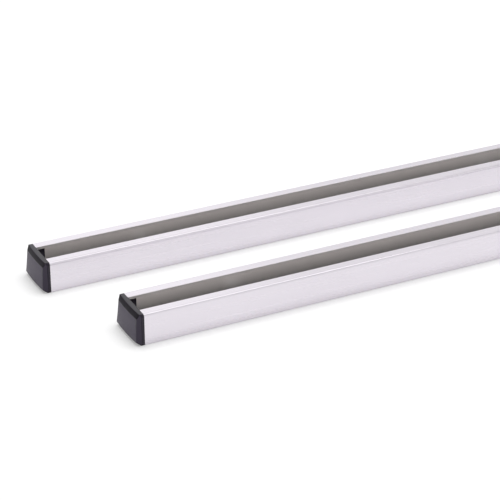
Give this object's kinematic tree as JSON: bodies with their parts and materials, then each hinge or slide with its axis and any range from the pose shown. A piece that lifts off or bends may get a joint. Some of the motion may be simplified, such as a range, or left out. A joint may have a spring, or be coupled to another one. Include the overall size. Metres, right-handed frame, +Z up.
{
  "type": "pair of roof tent mounting rails",
  "caption": "Pair of slotted aluminium mounting rails with black moulded end caps, for fixing a roof tent to roof bars.",
  "frame": {"origin": "under the middle of the pair, on the surface that the rails lie on", "axes": "+X along the rails, +Y across them towards the far rail, +Z up out of the slots"},
  "size_m": [1.2672, 0.1494, 0.026],
  "materials": {
    "anodised_aluminium": "satin anodised",
    "black_plastic": "moulded"
  },
  "bodies": {
    "root": {"far_rail": "anodised_aluminium", "far_rail_left_cap": "black_plastic", "far_rail_right_cap": "black_plastic", "near_rail": "anodised_aluminium", "near_rail_left_cap": "black_plastic", "near_rail_right_cap": "black_plastic"}
  },
  "joints": []
}
